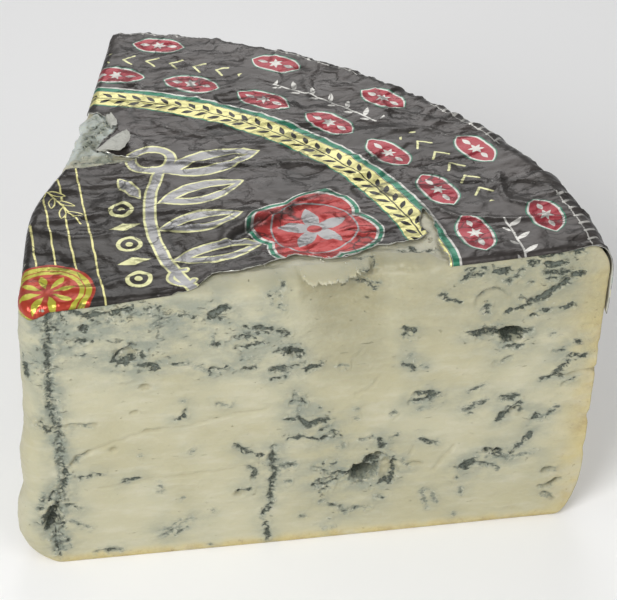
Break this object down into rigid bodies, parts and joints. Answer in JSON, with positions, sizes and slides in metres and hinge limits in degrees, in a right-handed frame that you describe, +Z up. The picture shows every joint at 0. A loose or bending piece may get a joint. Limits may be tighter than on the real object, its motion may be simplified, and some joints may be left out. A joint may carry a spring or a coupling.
{
  "type": "blue cheese wedge",
  "caption": "Wedge of blue-veined cheese cut from a wheel, with torn printed foil over its top and rim; lies flat as a food prop.",
  "frame": {"origin": "under the middle of the wedge's box, on the plane it rests on", "axes": "+Z up, the front cut face looks towards -Y with the tip at its -X end, the wheel's rim is on the +X and +Y side"},
  "size_m": [0.158, 0.151, 0.092],
  "materials": {
    "cheese_paste": "ivory blue-veined cheese paste with a damp sheen and a tan rind",
    "printed_foil": "crinkled aluminium foil with a dark grey-brown print in yellow, red, green and white"
  },
  "bodies": {
    "root": {"cheese": "cheese_paste", "foil": "printed_foil"}
  },
  "joints": []
}
